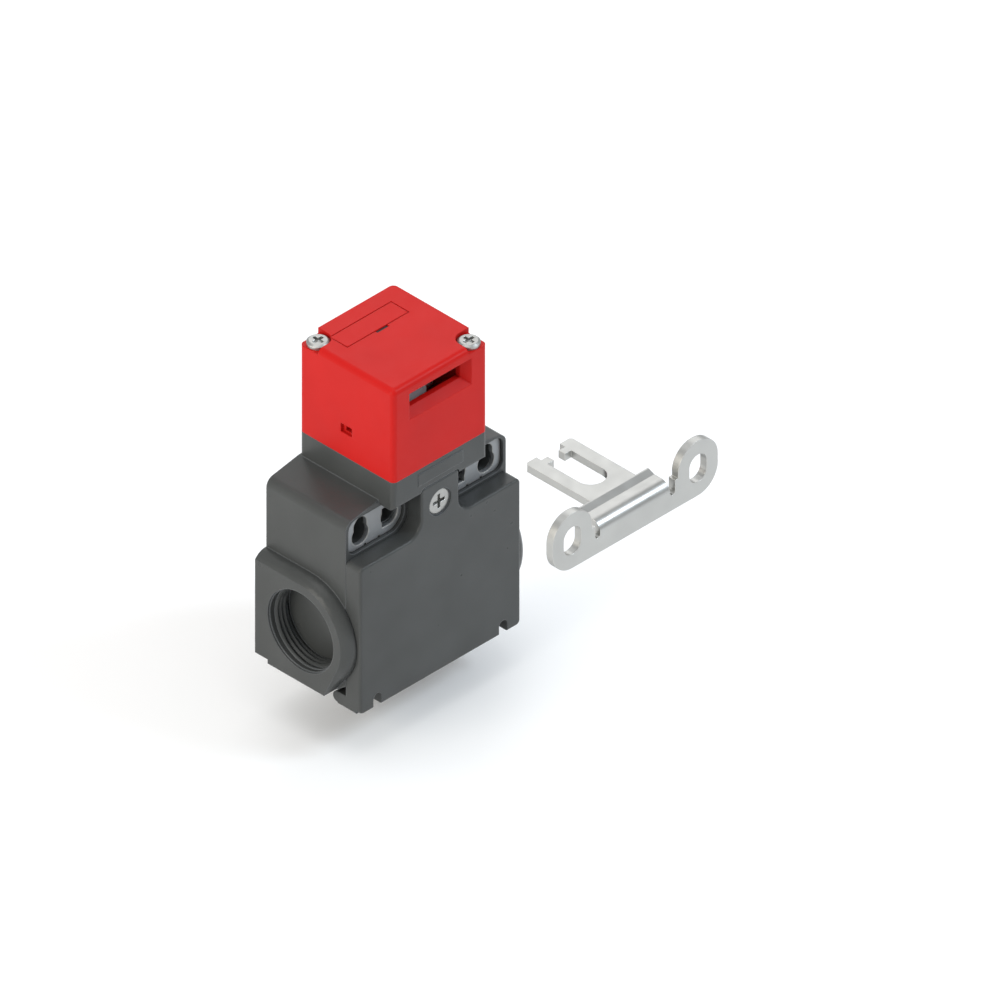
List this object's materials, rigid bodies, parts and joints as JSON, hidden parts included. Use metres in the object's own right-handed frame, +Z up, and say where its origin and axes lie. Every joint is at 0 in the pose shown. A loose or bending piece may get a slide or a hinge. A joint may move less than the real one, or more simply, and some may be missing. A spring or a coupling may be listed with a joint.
{
  "type": "tongue interlock switch",
  "caption": "Safety interlock switch with a plastic case, a slotted red head and a separate bent steel key that turns its rotor and opens the contacts.",
  "frame": {"origin": "on the rear mounting plane, midway between the two fixing holes and on their line", "axes": "+Z up towards the red head, +X to the switch's right as seen from its rear (towards one conduit boss), -Y out of the front cover, so +Y points into the surface it's fixed to"},
  "size_m": [0.0582, 0.092, 0.0841],
  "materials": {
    "case_plastic": "satin moulded polymer, dark grey",
    "head_plastic": "satin moulded polymer, signal red",
    "dark_plastic": "plain moulded polymer, black",
    "rotor_plastic": "acetal, light grey",
    "plated_steel": "zinc plated pressed steel",
    "screw_steel": "bright plated steel",
    "key_steel": "satin stainless steel, pressed and bent",
    "spring_steel": "drawn spring wire",
    "contact_brass": "bright brass",
    "seal_rubber": "black nitrile rubber"
  },
  "bodies": {
    "switch_body": {"housing": "case_plastic", "fixing_plate_left": "plated_steel", "fixing_plate_right": "plated_steel", "cover_screw_insert": "contact_brass", "head_shell": "head_plastic", "head_screws": "screw_steel", "head_base": "dark_plastic", "rotor_axle": "screw_steel", "rotor_springs": "spring_steel", "lock_slide_springs": "spring_steel", "plunger_spring": "spring_steel", "plunger_seal": "seal_rubber", "contact_base": "dark_plastic", "fixed_contacts": "contact_brass", "terminal_clamps": "plated_steel", "terminal_screws": "screw_steel", "contact_block_screws": "screw_steel", "carriage_spring": "spring_steel", "earth_screw": "screw_steel"},
    "cover_body": {"cover": "case_plastic", "cover_gasket": "seal_rubber", "cover_screw": "screw_steel", "cover_screw_retainer": "dark_plastic", "cover_hinge_pins": "screw_steel"},
    "plug_body": {"blanking_plug": "head_plastic"},
    "slide_body": {"lock_slide": "rotor_plastic"},
    "rotor_body": {"rotor": "rotor_plastic"},
    "plunger_body": {"plunger": "rotor_plastic"},
    "carriage_body": {"contact_carriage": "rotor_plastic", "moving_contacts": "contact_brass"},
    "key_body": {"actuator_key": "key_steel"}
  },
  "joints": [
    {"name": "lock_slide_travel", "type": "slide", "parent": "switch_body", "child": "slide_body", "axis": [0, 1, 0], "range_m": [0, 0.006], "stiffness_N_per_m": 60, "springref_m": -0.004, "deforming": ["lock_slide_springs"]},
    {"name": "key_insertion", "type": "slide", "parent": "slide_body", "child": "key_body", "axis": [0, 1, 0], "range_m": [0, 0.0483]},
    {"name": "rotor_turn", "type": "hinge", "parent": "switch_body", "child": "rotor_body", "pos_m": [0, -0.0155, 0.0257], "axis": [-1, 0, 0], "range_deg": [0, 57.23]},
    {"name": "plunger_lift", "type": "slide", "parent": "switch_body", "child": "plunger_body", "axis": [0, 0, 1], "range_m": [0, 0.00221], "deforming": ["plunger_spring"]},
    {"name": "carriage_lift", "type": "slide", "parent": "switch_body", "child": "carriage_body", "axis": [0, 0, 1], "range_m": [0, 0.00221], "deforming": ["carriage_spring"]},
    {"name": "cover_open", "type": "hinge", "parent": "switch_body", "child": "cover_body", "pos_m": [0, -0.0227, -0.0437], "axis": [1, 0, 0], "range_deg": [0, 95]},
    {"name": "plug_removal", "type": "slide", "parent": "switch_body", "child": "plug_body", "axis": [0, 0, 1], "range_m": [0, 0.008]}
  ],
  "couplings": [
    {"joint": "rotor_turn", "follows": "lock_slide_travel", "rad_per_m": 166.45},
    {"joint": "plunger_lift", "follows": "lock_slide_travel", "ratio": 0.36667},
    {"joint": "carriage_lift", "follows": "lock_slide_travel", "ratio": 0.36667}
  ]
}
